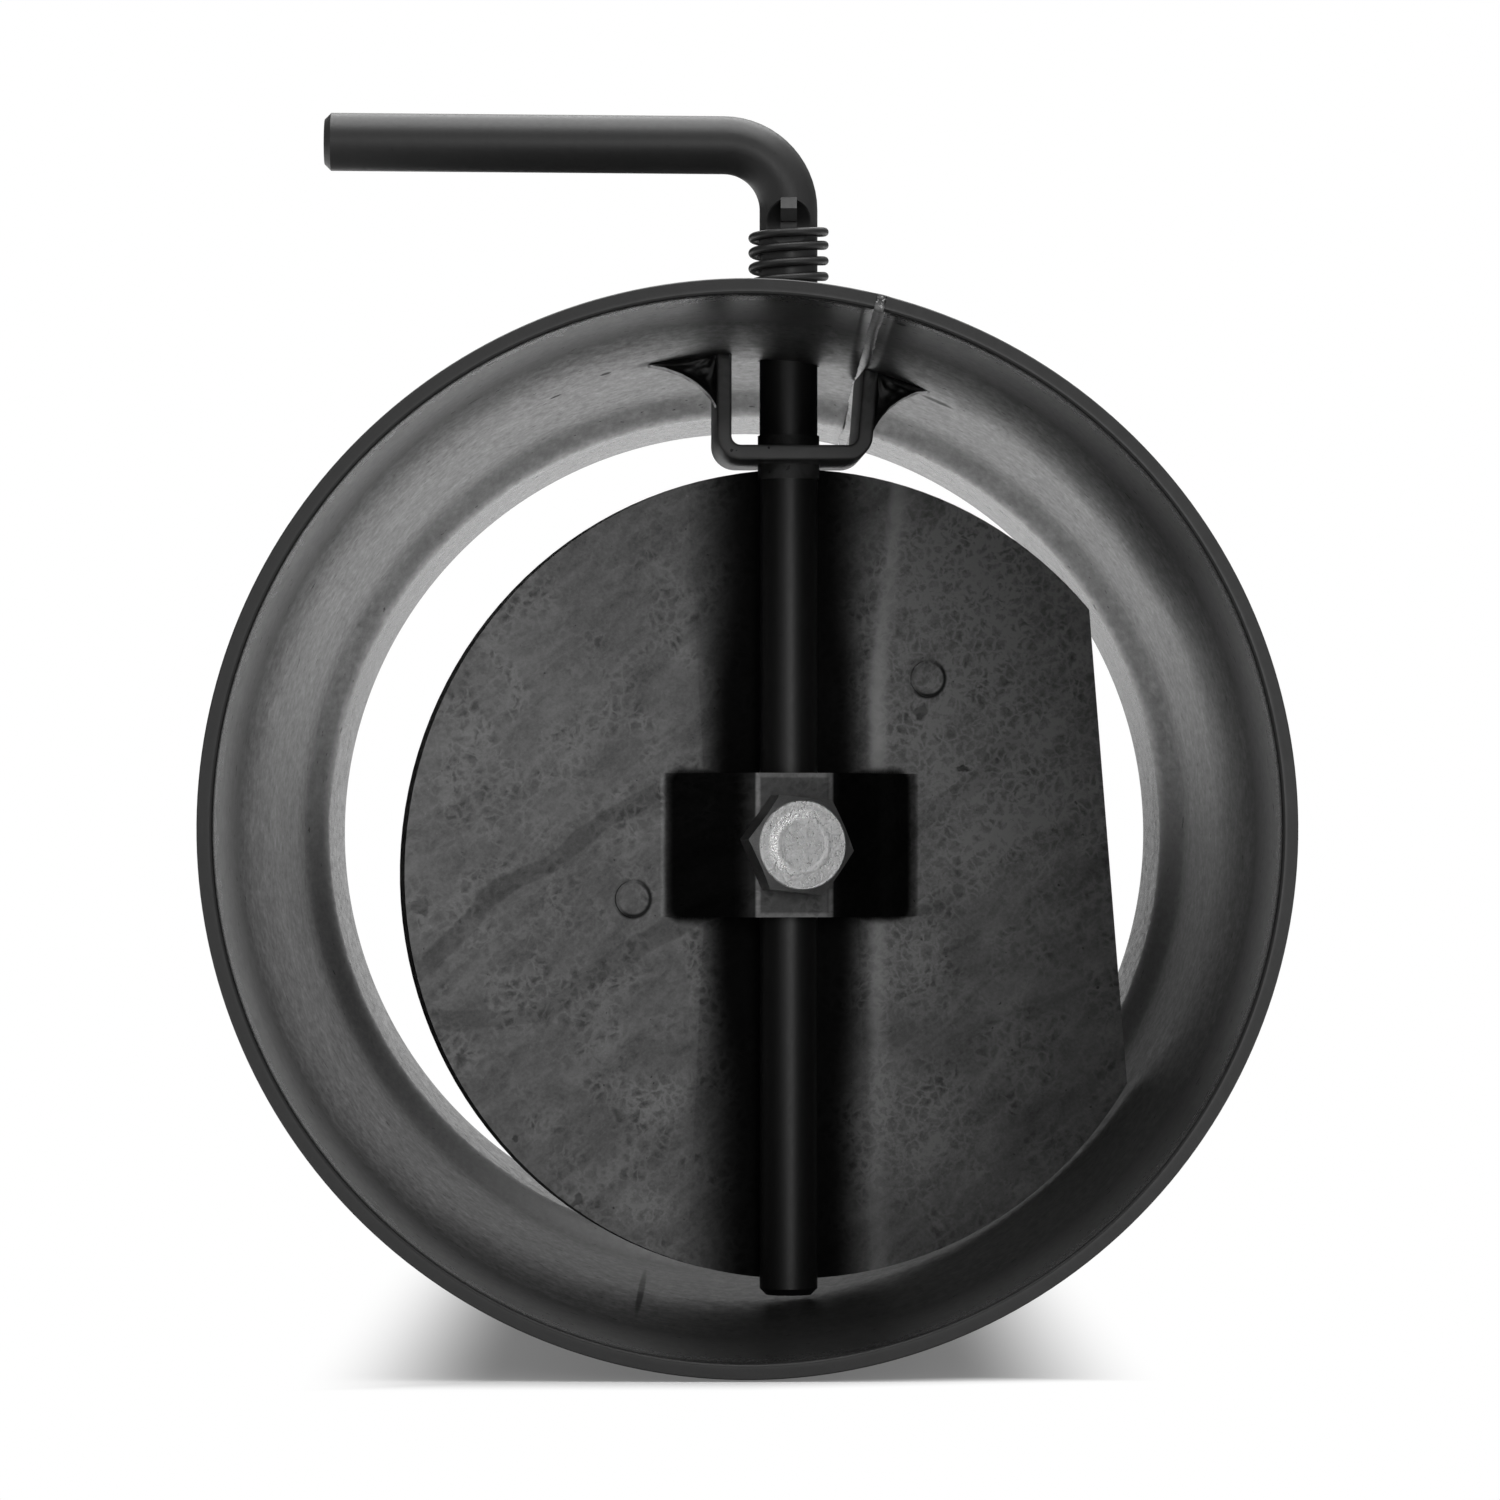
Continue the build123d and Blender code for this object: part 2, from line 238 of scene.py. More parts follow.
def drillHole(piece, middle, radius, depth):
    drill = bmesh.new()
    bmesh.ops.create_cone(drill, cap_ends=True, segments=64, radius1=radius / 1000,
                          radius2=radius / 1000, depth=depth / 1000)
    bmesh.ops.translate(drill, verts=drill.verts, vec=Vector(middle) / 1000)
    data = bpy.data.meshes.new("drill")
    drill.to_mesh(data)
    drill.free()
    tool = bpy.data.objects.new("drill", data)
    bpy.context.scene.collection.objects.link(tool)
    cut = piece.modifiers.new("hole", "BOOLEAN")
    cut.operation = "DIFFERENCE"
    cut.object = tool
    graph = bpy.context.evaluated_depsgraph_get()
    drilled = bpy.data.meshes.new_from_object(piece.evaluated_get(graph))
    piece.modifiers.remove(cut)
    piece.data = drilled
    bpy.data.objects.remove(tool)


# Camera: about 0.9 m before the mouth, a little left of the axis and just under it
cameraLook = {
    "place": (-0.00187, -0.892, -0.00231),
    "focal": 175.97,
    "sensor": 36,
    "shift": (0.012, 0.06537),
    "clip": (0.05, 50),
}
camera = bpy.data.objects.new("camera", bpy.data.cameras.new("camera"))
bpy.context.scene.collection.objects.link(camera)
camera.location = cameraLook["place"]
camera.rotation_euler = (math.radians(90), 0, 0)
camera.data.sensor_width = cameraLook["sensor"]
camera.data.lens = cameraLook["focal"]
camera.data.shift_x, camera.data.shift_y = cameraLook["shift"]
camera.data.clip_start, camera.data.clip_end = cameraLook["clip"]
bpy.context.scene.camera = camera
bpy.context.scene.view_settings.view_transform = "Standard"
print("camera placed")

# Pipe: the rolled tube with soft bends, open along the seam, drilled for the spindle
pipe = {
    "length": 250.0,
    "wall": 1.975,
    "socketRadius": 65.1,
    "bodyRadius": 64.95,
    "spigotRadius": 62.15,
    "socketBend": (40.0, 54.0),
    "spigotBend": (189.5, 206.5),
    "lip": 0.35,
    "endEdge": (0.25, 0.08),  # rounding of the spigot's end: its reach, and half way round it
    "seamAngle": 14.2,
    "seamHalf": 0.6,
    "segments": 240,
    "hole": 4.25,
    "holeDepth": 12,
}

# Stove paint: matt black on the pipe, burnished inside the socket
stovePaint = {
    "shade": 0.016,
    "shadeWorn": 0.050,
    "shadeSpeckle": 0.030,
    "rimPaintedShade": 0.004,
    "shadeMarkAndShadow": 0.002,
    "roughOutside": 0.50,
    "gloss": [  # of the inside: share of the length from the mouth, roughness
        (0.0, 0.25), (0.08, 0.32), (0.18, 0.45), (0.24, 0.46), (0.50, 0.41), (0.68, 0.43),
        (0.76, 0.52), (0.80, 0.47), (0.83, 0.25), (1.0, 0.22),
    ],
    "insideRadius": (65.3, 65.9),
    "burnishedTo": (43, 52),
    "drawnFrom": (185, 196),
    "rimDepth": (0.2, 0.4),
    "lipShadeRadius": (65.45, 65.52),
    "lipShadeDepth": (0.48, 0.60),
    "grain": 0.9,
    "grainHeight": 0.00006,
    "stains": [  # on the wall: place and reach of each mark in mm, and how dark it is; the first is painted shadow along the top of the left weld
        {"place": (-11.0, 106.0, 64.0), "reach": (6.0, 7.0, 3.0), "deep": 0.55},
        {"place": (26.5, 120.0, 59.3), "reach": (3.6, 3.5, 1.8), "deep": 0.75},
        {"place": (-19.0, 104.0, 62.0), "reach": (1.0, 2.6, 1.0), "deep": 0.9},
        {"place": (-26.0, 112.0, 59.5), "reach": (1.0, 2.0, 1.0), "deep": 0.9},
        {"place": (19.0, 12.0, 62.3), "reach": (0.8, 2.6, 0.8), "deep": 0.8},
        {"place": (-14.4, 118.0, -63.3), "reach": (0.55, 62.0, 1.5), "deep": 0.6},
    ],
}


def insideShare(recipe, radius, y, edge):  # 1 on the inner wall, also where it is drawn in
    drawnBy = recipe.mask(y, *pipe["spigotBend"]) * (pipe["bodyRadius"] - pipe["spigotRadius"])
    return 1 - recipe.mask(radius + drawnBy, *edge)


def makeStovePaint():
    paint = Recipe("stovePaint")
    point = paint.pointInMm()
    x, y, z = paint.parts(point)
    radius = distance(x, z)
    inside = insideShare(paint, radius, y, stovePaint["insideRadius"])
    drawn = paint.noise(paint.stretch(point, (0.05, 0.8, 0.05)), 1.0, 5, 0.65)
    smear = paint.noise(paint.stretch(point, (0.22, 0.12, 0.22)), 1.0, 5, 0.7, 1.2)
    flecks = paint.noise(paint.stretch(point, (1.0, 0.25, 1.0)), 0.9, 4, 0.7)
    blots = paint.noise(point, 0.07, 5, 0.6, 0.6)
    fine = paint.noise(point, stovePaint["grain"], 4, 0.65)
    specks = paint.mask(paint.noise(point, 0.55, 2, 0.5), 0.71, 0.74) * inside
    speckle = paint.mask(paint.noise(point, 2.6, 3, 0.7), 0.30, 0.75)

    rolled = paint.mask(y, *stovePaint["burnishedTo"])  # 0 in the socket, 1 behind it
    drawnIn = paint.mask(y, *stovePaint["drawnFrom"])
    worn = paint.mask(blots * 0.4 + smear * 0.35 + drawn * 0.25, 0.40, 0.62)
    worn = worn * (0.4 + rolled * 0.6 - drawnIn * 0.8) * inside
    # painted shade: the rim's end face is painted darker than the rest of the paint
    rim = 1 - paint.mask(y, *stovePaint["rimDepth"])
    shade = paint.blend(worn, stovePaint["shade"], stovePaint["shadeWorn"])
    shade = paint.blend(speckle * 0.5, shade, stovePaint["shadeSpeckle"])
    shade = paint.blend(rim * 0.75, shade, stovePaint["rimPaintedShade"])

    dark = specks * 0.85
    for mark in stovePaint["stains"]:
        spot = paint.stain(point, mark["place"], mark["reach"])
        dark = dark.larger(spot * mark["deep"] * inside)
    lip = 1 - paint.mask(radius, *stovePaint["lipShadeRadius"])
    lip = lip * (1 - paint.mask(y, *stovePaint["lipShadeDepth"]))  # painted shade: the dark line just inside the rim
    dark = dark.larger(lip * 0.95)
    # dark specks and stains, with painted shade at the rim's inner edge and beside the left weld
    shade = paint.blend(dark, shade, stovePaint["shadeMarkAndShadow"])

    gloss = paint.node("ShaderNodeValToRGB", {"stops": stovePaint["gloss"]},
                       {0: y / pipe["length"]})
    outside = stovePaint["roughOutside"] + (smear - 0.5) * 0.14
    mottle = (flecks - 0.5) * 0.34 + (smear - 0.5) * 0.20
    rough = gloss * inside + (1 - inside) * outside
    rough = rough + (fine - 0.5) * 0.08 + (drawn - 0.5) * 0.07
    rough = rough + mottle * (0.3 + rolled * 0.7) * inside + dark * 0.3
    height = fine * 0.5 + drawn * 0.3 + flecks * (0.2 + rolled * 0.5)
    return paint.finishSurface({
        "Base Color": shade,
        "Roughness": rough,
        "Specular IOR Level": 0.5,
        "Normal": paint.bump(height, 0.5, stovePaint["grainHeight"]),
    })


def easeStep(value, low, high):
    share = min(max((value - low) / (high - low), 0), 1)
    return share * share * (3 - 2 * share)


def boreAt(y):
    first = easeStep(y, *pipe["socketBend"]) * (pipe["socketRadius"] - pipe["bodyRadius"])
    second = easeStep(y, *pipe["spigotBend"]) * (pipe["bodyRadius"] - pipe["spigotRadius"])
    return pipe["socketRadius"] - first - second


def pipeSection():  # radius and distance from the mouth, once round the sheet's section
    lip, wall, length = pipe["lip"], pipe["wall"], pipe["length"]
    inner = [0.5, 4, 10, 18, 26, 34] + [40 + 1.4 * step for step in range(11)]
    inner += [62, 75, 95, 115, 135, 155, 170, 182] + [189.5 + 1.0 * step for step in range(18)]
    inner += [214, 226, 238, 247]
    front, back = pipe["socketRadius"], pipe["spigotRadius"]
    outer = back + wall
    far, near = pipe["endEdge"]
    section = [(front + lip, 0), (front + lip * 0.5, 0.08), (front + lip * 0.15, 0.25)]
    section += [(boreAt(y), y) for y in inner]
    section += [(back, length - far), (back + near, length - near), (back + far, length)]
    section += [(outer - far, length), (outer - near, length - near), (outer, length - far)]
    section += [(boreAt(y) + wall, y) for y in reversed(inner)]
    section += [(front + wall - 0.04, 0.12), (front + wall - 0.15, 0)]
    return section


def roundPoint(radius, turn, y):  # from radius, angle and distance from the mouth to metres
    return Vector((radius * math.sin(turn), y, radius * math.cos(turn))) / 1000


def makePipe(surface):
    mesh = bmesh.new()
    section = pipeSection()
    rings = []
    start = math.radians(pipe["seamAngle"])
    for step in range(pipe["segments"] + 1):
        ring = []
        for radius, y in section:
            gap = math.asin(pipe["seamHalf"] / radius)
            turn = start + gap + (2 * math.pi - 2 * gap) * step / pipe["segments"]
            ring.append(mesh.verts.new(roundPoint(radius, turn, y)))
        rings.append(ring)
    skinClosed(mesh, rings)
    piece = addPiece("pipeTube", mesh, surface, "pipe")
    for edge in piece.data.edges:  # the rim keeps its edges crisp
        first, second = (piece.data.vertices[index].co for index in edge.vertices)
        edge.use_edge_sharp = abs(first.y) < 1e-6 and abs(second.y) < 1e-6
    middle = (*spindleAt, pipe["bodyRadius"] + 1)
    drillHole(piece, middle, pipe["hole"], pipe["holeDepth"])
    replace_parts(piece, "pipe_shell")


makePipe(makeStovePaint())
print("pipe made")

# Strap and welds: black scale on flat bar, lumpy weld metal
strap = {
    "yaw": 1.7,
    "left": -9.3,
    "right": 9.8,
    "lean": 4.5,
    "webMiddle": 51.55,
    "corner": 2.3,
    "thick": 2.0,
    "wide": 30.0,
    "edge": 0.4,
    "legTop": 67,
    "wallRadius": 64.9,
    "hole": 4.25,
    "holeDepth": 6,
    "uneven": 0.05,
    "legSteps": 9,
    "bendSteps": 12,
    "webSteps": 16,
    "shade": 0.030,
    "cutShade": 0.12,
    "cutEdge": (0.6, 0.1),
    "cutFades": (53, 57),
    "pitShade": 0.003,
    "roughness": 0.52,
    "grainHeight": 0.00004,
}
weld = {
    "inset": 2.0,
    "length": 5.5,
    "hollow": 1.3,
    "fall": {"left": 6.9, "right": 8.4},
    "reach": {"left": 9.3, "right": 7.2},
    "pit": 1.7,
    "ripple": 0.10,
    "ripplePitch": 1.9,
    "lumps": 0.22,
    "curveSteps": 24,
    "lengthSteps": 32,
    "pitSteps": 12,
    "shade": 0.008,
    "roughness": 0.42,
    "grainHeight": 0.00015,
}


def strapPoint(across, deep, height):  # from the strap's own plane to the frame, in metres
    turn = math.radians(strap["yaw"])
    x = spindleAt[0] + across * math.cos(turn) - deep * math.sin(turn)
    y = spindleAt[1] + across * math.sin(turn) + deep * math.cos(turn)
    return Vector((x, y, height)) / 1000


def wallHeight(across, deep, radius):
    x = strapPoint(across, deep, 0).x * 1000
    return math.sqrt(radius ** 2 - x ** 2)


def makeStrapSteel():
    steel = Recipe("strapSteel")
    point = steel.pointInMm()
    x, y, z = steel.parts(point)
    fine = steel.noise(point, 1.4, 4, 0.65)
    blots = steel.noise(point, 0.25, 4, 0.6, 0.6)
    scratch = steel.noise(steel.stretch(point, (0.3, 2.0, 2.4)), 1.0, 4, 0.6)
    pits = steel.mask(steel.noise(point, 0.8, 2, 0.5), 0.70, 0.74)
    half = strap["wide"] / 2
    inner, outer = strap["cutEdge"]
    cut = steel.mask((y - spindleAt[1]).size(), half - inner, half - outer)
    cut = cut * (1 - steel.mask(z, *strap["cutFades"]) * 0.6)  # lighter along the web, less so up the legs
    shade = steel.blend(steel.mask(blots, 0.35, 0.65), strap["shade"] * 0.6, strap["shade"] * 1.8)
    shade = steel.blend(cut, shade, strap["cutShade"])
    shade = steel.blend(pits, shade, strap["pitShade"])
    return steel.finishSurface({
        "Base Color": shade,
        "Roughness": strap["roughness"] + (fine - 0.5) * 0.2 + (blots - 0.5) * 0.2,
        "Specular IOR Level": 0.4,
        "Normal": steel.bump(fine * 0.5 + scratch * 0.5, 0.5, strap["grainHeight"]),
    })


def makeWeldScale():
    scale = Recipe("weldScale")
    point = scale.pointInMm()
    fine = scale.noise(point, 1.6, 4, 0.7)
    lumps = scale.noise(point, 0.7, 3, 0.6)
    shade = scale.blend(scale.mask(lumps, 0.55, 0.75), weld["shade"], weld["shade"] * 3)
    return scale.finishSurface({
        "Base Color": shade,
        "Roughness": weld["roughness"] + (fine - 0.5) * 0.3,
        "Specular IOR Level": 0.5,
        "Normal": scale.bump(fine * 0.4 + lumps * 0.6, 0.6, weld["grainHeight"]),
    })


def bentCorner(centre, first, sweep, bend):  # points round a bend, with the way across the bar
    points = []
    for step in range(strap["bendSteps"] + 1):
        angle = first + step / strap["bendSteps"] * sweep
        way = (math.cos(angle), math.sin(angle))
        points.append(((centre[0] + bend * way[0], centre[1] + bend * way[1]), way))
    return points


def strapLine():  # middle line of the bent bar, with the way across it
    lean = math.radians(strap["lean"])
    low, bend, top = strap["webMiddle"], strap["corner"], strap["legTop"]
    legSteps, webSteps = strap["legSteps"], strap["webSteps"]
    line = []
    for step in range(legSteps):
        line.append(((strap["left"], top - step * (top - low - bend) / legSteps), (-1, 0)))
    line += bentCorner((strap["left"] + bend, low + bend), math.pi, math.pi / 2, bend)
    tangent = bend * math.tan((math.pi / 2 - lean) / 2)
    first, last = strap["left"] + bend, strap["right"] - tangent
    for step in range(1, webSteps):
        line.append(((first + (last - first) * step / webSteps, low), (0, -1)))
    line += bentCorner((last, low + bend), -math.pi / 2, math.pi / 2 - lean, bend)
    end = line[-1][0]
    for step in range(1, legSteps + 1):
        rise = (top - end[1]) * step / legSteps
        line.append(((end[0] + math.tan(lean) * rise, end[1] + rise),
                     (math.cos(lean), -math.sin(lean))))
    return line


def makeStrap(surface):
    mesh = bmesh.new()
    rings = []
    halfThick, halfWide, edge = strap["thick"] / 2, strap["wide"] / 2, strap["edge"]
    corners = [(halfThick - edge, halfWide - edge, 0), (edge - halfThick, halfWide - edge, 90),
               (edge - halfThick, edge - halfWide, 180), (halfThick - edge, edge - halfWide, 270)]
    for (across, height), (outX, outZ) in strapLine():
        ring = []
        for out, deep, start in corners:
            for step in range(5):
                angle = math.radians(start + step * 22.5)
                off = out + edge * math.cos(angle)
                back = deep + edge * math.sin(angle)
                uneven = strap["uneven"] * lump(across, back, height, 0.35)
                off += uneven * (1 if abs(off) < halfThick else 0.6)
                x, z = across + outX * off, height + outZ * off
                z = min(z, wallHeight(x, back, strap["wallRadius"]))
                ring.append(mesh.verts.new(strapPoint(x, back, z)))
        rings.append(ring)
    skinClosed(mesh, rings)
    piece = addPiece("strapBar", mesh, surface, "pipe")
    drillHole(piece, (*spindleAt, strap["webMiddle"]), strap["hole"], strap["holeDepth"])
    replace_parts(piece, "bearing_strap")


def closeWeldEnd(mesh, ring, start, way, curve, corner, side):  # hollow, where the arc broke off
    wall, steps = pipe["bodyRadius"], weld["curveSteps"]
    rows = [ring[:-1]]
    for level in range(1, weld["pitSteps"]):
        share = level / weld["pitSteps"]
        row = []
        for index, spot in enumerate(curve):
            place = spot.lerp(corner, share)
            along = index / steps
            span = min(1, 5 * along + 0.15, 5 * (1 - along) + 0.15)
            depth = weld["pit"] * math.sin(math.pi * share) ** 0.6 * span
            depth *= 0.65 + 0.6 * abs(lump(place.x, 0, place.y, 0.75, side + 2.0))
            height = min(place.y, wallHeight(place.x, start, wall))
            row.append(mesh.verts.new(strapPoint(place.x, start + way * depth, height)))
        rows.append(row)
    for first, second in zip(rows, rows[1:]):
        for index in range(steps):
            mesh.faces.new((first[index], first[index + 1], second[index + 1], second[index]))
    tip = ring[-1]
    for index in range(steps):
        mesh.faces.new((rows[-1][index], rows[-1][index + 1], tip))
    mesh.faces.new((rows[0][0], tip, *[row[0] for row in reversed(rows[1:])]))
    mesh.faces.new((rows[0][-1], *[row[-1] for row in rows[1:]], tip))


def makeWeld(name, nodeName, side, legLow, slope, fall, reach, surface):
    wall, steps = pipe["bodyRadius"], weld["curveSteps"]
    outerLow = legLow + side * strap["thick"] / 2
    footHeight = wallHeight(outerLow, 0, wall) - fall
    foot = Vector((outerLow + slope * (footHeight - strap["webMiddle"]), footHeight))
    top = outerLow + slope * (wallHeight(outerLow, 0, wall) - strap["webMiddle"])
    toe = Vector((top + side * reach, wallHeight(top + side * reach, 0, wall)))
    corner = Vector((top, wallHeight(top, 0, wall)))
    inward = (corner - (toe + foot) / 2).normalized()
    nearEnd = weld["inset"] - strap["wide"] / 2
    curve = []
    for step in range(steps + 1):
        share = step / steps
        sag = 4 * share * (1 - share) * weld["hollow"]
        curve.append(toe.lerp(foot, share) + inward * sag)
    mesh = bmesh.new()
    rings = []
    for step in range(weld["lengthSteps"] + 1):
        deep = nearEnd + weld["length"] * step / weld["lengthSteps"]
        ring = []
        for index, spot in enumerate(curve):
            share = index / steps
            fade = min(1, 6 * share, 6 * (1 - share))
            shift = 0.9 * lump(spot.x, 0, spot.y, 0.3)
            wave = math.sin(2 * math.pi * (deep + shift) / weld["ripplePitch"])
            push = (0.5 + 0.5 * wave) * weld["ripple"]
            push += weld["lumps"] * abs(lump(spot.x, deep, spot.y, 0.55, side))
            place = spot + inward * push * fade
            height = min(place.y, wallHeight(place.x, deep, wall))
            ring.append(mesh.verts.new(strapPoint(place.x, deep, height)))
        ring.append(mesh.verts.new(strapPoint(corner.x, deep, wallHeight(corner.x, deep, wall))))
        rings.append(ring)
    bridgeRings(mesh, rings)
    closeWeldEnd(mesh, rings[0], nearEnd, 1, curve, corner, side)
    closeWeldEnd(mesh, rings[-1], nearEnd + weld["length"], -1, curve, corner, side)
    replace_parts(addPiece(name, mesh, surface, "pipe"), nodeName)


makeStrap(makeStrapSteel())
weldSurface = makeWeldScale()
makeWeld("weldLeft", "strap_weld_left", -1, strap["left"], 0,
         weld["fall"]["left"], weld["reach"]["left"], weldSurface)
makeWeld("weldRight", "strap_weld_right", 1, strap["right"], math.tan(math.radians(strap["lean"])),
         weld["fall"]["right"], weld["reach"]["right"], weldSurface)
print("strap and welds made")

# Seam weld: fills the slot, thin and light inside, a low rippled cap outside
seam = {
    "inset": 0.25,
    "insideRise": 0.16,
    "insideSunk": 0.04,
    "insideHalf": 0.75,
    "insideRadius": (65.6, 66.2),
    "capRise": 0.22,
    "capSunk": 0.06,
    "capHalf": 2.3,
    "capStart": (0.6, 2.5),
    "capEnd": (186, 194),
    "ripplePitch": 1.6,
    "ragged": 0.35,
    "steps": 420,
    "insidePoints": 8,
    "capPoints": 12,
    "shade": 0.15,
    "shadeSpots": 0.008,
    "bare": 0.55,
    "bareTo": (0.8, 1.6),
    "roughness": 0.40,
    "grainHeight": 0.00006,
}


def makeSeamScale():
    scale = Recipe("seamScale")
    point = scale.pointInMm()
    x, y, z = scale.parts(point)
    inside = insideShare(scale, distance(x, z), y, seam["insideRadius"])
    fine = scale.noise(point, 1.2, 4, 0.7)
    spots = scale.noise(scale.stretch(point, (1, 0.30, 1)), 0.5, 3, 0.6)
    chips = scale.mask(scale.noise(point, 1.4, 3, 0.6), 0.50, 0.56)
    bare = (1 - scale.mask(y, *seam["bareTo"])) * chips  # bright metal in the notch of the rim
    bead = scale.blend(scale.mask(spots, 0.54, 0.64), seam["shade"], seam["shadeSpots"])
    shade = scale.blend(inside, stovePaint["shade"], bead)
    shade = scale.blend(bare, shade, seam["bare"])
    return scale.finishSurface({
        "Base Color": shade,
        "Metallic": bare,
        "Roughness": seam["roughness"] + (fine - 0.5) * 0.3 - inside * 0.08,
        "Specular IOR Level": 0.6,
        "Normal": scale.bump(fine, 0.5, seam["grainHeight"]),
    })


def makeSeam(surface):
    mesh = bmesh.new()
    angle = math.radians(pipe["seamAngle"])
    rings = []
    for step in range(seam["steps"] + 1):
        y = seam["inset"] + (pipe["length"] - 2 * seam["inset"]) * step / seam["steps"]
        ragged = seam["ragged"] if step == 0 else 0  # only the end in the notch of the rim
        bore = boreAt(y)
        wide = seam["insideHalf"] * (1 + 0.30 * lump(0, y, 0, 0.16) + 0.2 * lump(0, y, 0, 0.6))
        shift = 0.4 * lump(4, y, 0, 0.05)
        cap = easeStep(y, *seam["capStart"]) * (1 - easeStep(y, *seam["capEnd"]))
        phase = 2 * math.pi * y / seam["ripplePitch"] + 2 * lump(0, y, 5, 0.2)
        wave = 0.75 + 0.25 * math.sin(phase)
        ring = []
        for side in range(seam["insidePoints"] + 1):
            share = 2 * side / seam["insidePoints"] - 1
            rise = seam["insideRise"] * (1 - share ** 2) * (1 + 0.5 * lump(1, y, share, 0.5))
            rise -= seam["insideSunk"]
            if y < 1.5:
                rise = 0.05 * lump(share, y, 1, 2.0) - 0.05
            near = y + ragged * abs(lump(share, 3, 0, 1.5))
            turn = angle + (share * wide + shift) / bore
            ring.append(mesh.verts.new(roundPoint(bore - rise, turn, near)))
        outer = bore + pipe["wall"]
        half = pipe["seamHalf"] + (seam["capHalf"] - pipe["seamHalf"]) * cap
        for side in range(seam["capPoints"] + 1):
            share = 1 - 2 * side / seam["capPoints"]
            rise = (seam["capRise"] + seam["capSunk"]) * (1 - share ** 2) * wave * cap
            rise -= seam["capSunk"]
            if cap < 0.5:
                rise = min(rise, 0.02 * lump(share, y, 2, 1.5) - 0.01)
            near = y + ragged * abs(lump(share, 7, 0, 1.5))
            turn = angle + share * half / outer
            ring.append(mesh.verts.new(roundPoint(outer + rise, turn, near)))
        rings.append(ring)
    skinClosed(mesh, rings)
    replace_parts(addPiece("seamBead", mesh, surface, "pipe"), "seam_weld")


makeSeam(makeSeamScale())
print("seam made")

# Disc: hot-rolled sheet, oiled and mottled, with painted shade in the press mark along the
# spindle, on the bridge's flanks and round the pips, and painted light beside them and on the
# right half
discSheet = {
    "yaw": 15.2,
    "face": -4.05,
    "dark": 0.12,
    "light": 0.37,
    # black: of the oil spots, and of the painted shade along the spindle and on the bridge's
    # flanks
    "black": 0.004,
    "roughness": 0.60,
    "grainHeight": 0.00003,
    "wiped": 38,  # the oil was wiped this way, in degrees
    "pips": [(21.2, 21.3), (-21.2, -9.3)],
    "pipShadowRing": ((1.95, 2.3), (2.6, 3.0)),  # painted shadow round each pip, from its rise to its fall
    "stains": [  # across and up, with the reach each way, in mm
        {"place": (-51.3, -10.4), "reach": (1.2, 1.5), "deep": 0.35},
        {"place": (-44.9, -31.3), "reach": (1.4, 1.4), "deep": 0.45},
        {"place": (-37.6, -42.1), "reach": (0.8, 0.8), "deep": 0.55},
        {"place": (-29.1, -51.1), "reach": (1.0, 1.1), "deep": 0.5},
        {"place": (20.7, 16.9), "reach": (1.1, 1.1), "deep": 0.5},
        {"place": (26.4, 8.7), "reach": (1.0, 0.8), "deep": 0.7},
    ],
    "flows": [  # oil runs: two ends across and up, and half the width
        {"from": (-50, -18), "to": (-39.9, -8.1), "wide": 1.5, "deep": 0.30},
        {"from": (-39.9, -8.1), "to": (-17.3, 5.7), "wide": 1.4, "deep": 0.30},
        {"from": (-48.4, -25.8), "to": (-34.0, -24.6), "wide": 1.5, "deep": 0.25},
        {"from": (-34.0, -24.6), "to": (-11.6, -10.2), "wide": 1.8, "deep": 0.25},
        {"from": (14.0, -5.0), "to": (34.0, 12.8), "wide": 1.6, "deep": 0.15},
    ],
    "paleAndPaintedLight": [  # paler places of the sheet, and painted light that lifts the right half
        {"place": (-17.3, -37.1), "reach": (7.0, 5.5)},
        {"place": (14.6, -36.0), "reach": (3.0, 9.0)},
        {"place": (17.0, -17.5), "reach": (9.0, 9.0)},
        {"place": (26.0, 36.0), "reach": (16.0, 12.0)},
        {"place": (30.0, 16.0), "reach": (28.0, 38.0)},
        {"place": (20.0, -42.0), "reach": (15.0, 11.0)},
        {"place": (-19.5, -52.0), "reach": (7.0, 4.0)},
    ],
    "press": {  # painted shade along the spindle, with a painted highlight line beside it
        "soft": (18, 36),  # its edges are crisp only beside the bridge
        "raised": (18, 48),  # it runs out softly towards the top
        "floor": (-3.9, -3.5),
        "right": (7.5, 6.8),  # where it starts to fade on each side, and over how much
        "left": (-6.5, 5.9),
        "kneePlace": 13.7,
        "kneeRise": (-1.6, -0.1),
        "kneeFall": (0.3, 2.6),
        "highlightLineTone": 0.60,
    },
    "bridge": {  # its flanks painted dark as shadow, its flat top, and a painted highlight on the rim of that
        "middle": (1.1, -1.9),
        "half": (17.8, 11.0),
        "corner": 2.4,
        "fade": (1.3, 2.6),
        "flankForward": (-4.6, -4.3),
        "topMiddle": -1.1,
        "topHalf": (5.3, 5.7),
        "topForward": (6.6, 7.0),
        "topShade": 0.07,
        "rimAcross": (4.7, 5.1),
        "rimUp": (9.1, 9.5),
        "rimHighlightTone": 0.45,
    },
}


def discPlace(recipe, point):  # across, up and forward of the spindle's axis
    x, y, z = recipe.parts(point)
    turn = math.radians(discSheet["yaw"])
    fromX = x - spindleAt[0]
    fromY = y - spindleAt[1]
    across = fromX * math.cos(turn) + fromY * math.sin(turn)
    forward = fromX * math.sin(turn) - fromY * math.cos(turn)
    return across, z, forward


